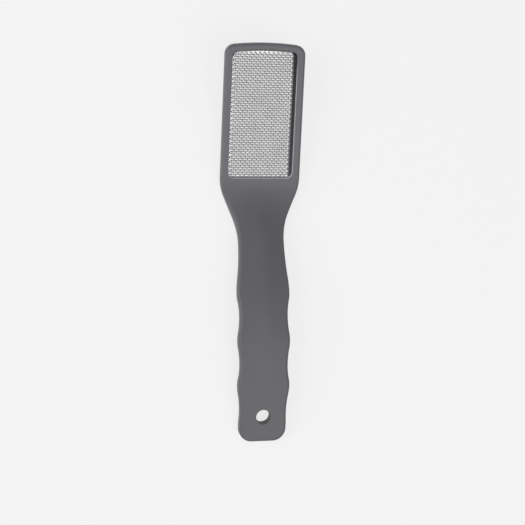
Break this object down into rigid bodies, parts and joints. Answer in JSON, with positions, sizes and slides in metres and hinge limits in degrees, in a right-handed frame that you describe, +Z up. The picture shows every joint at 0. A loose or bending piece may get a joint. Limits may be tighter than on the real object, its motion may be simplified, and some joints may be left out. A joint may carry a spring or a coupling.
{
  "type": "foot file",
  "caption": "Foot file with a bent plastic handle, a waved grip with a hanging hole, and a framed head that holds a pierced steel rasp plate.",
  "frame": {"origin": "centre of the bounding box's base, on the table that the tool lies on, filing side up", "axes": "+X along the tool towards the head's tip, +Y across the head, +Z up, out of the filing side"},
  "size_m": [0.2074, 0.0422, 0.0227],
  "materials": {
    "grey_plastic": "satin moulded plastic, mid grey",
    "rasp_steel": "bright stainless sheet, pierced"
  },
  "bodies": {
    "root": {"handle": "grey_plastic", "file_plate": "rasp_steel", "retaining_frame": "grey_plastic"}
  },
  "joints": []
}
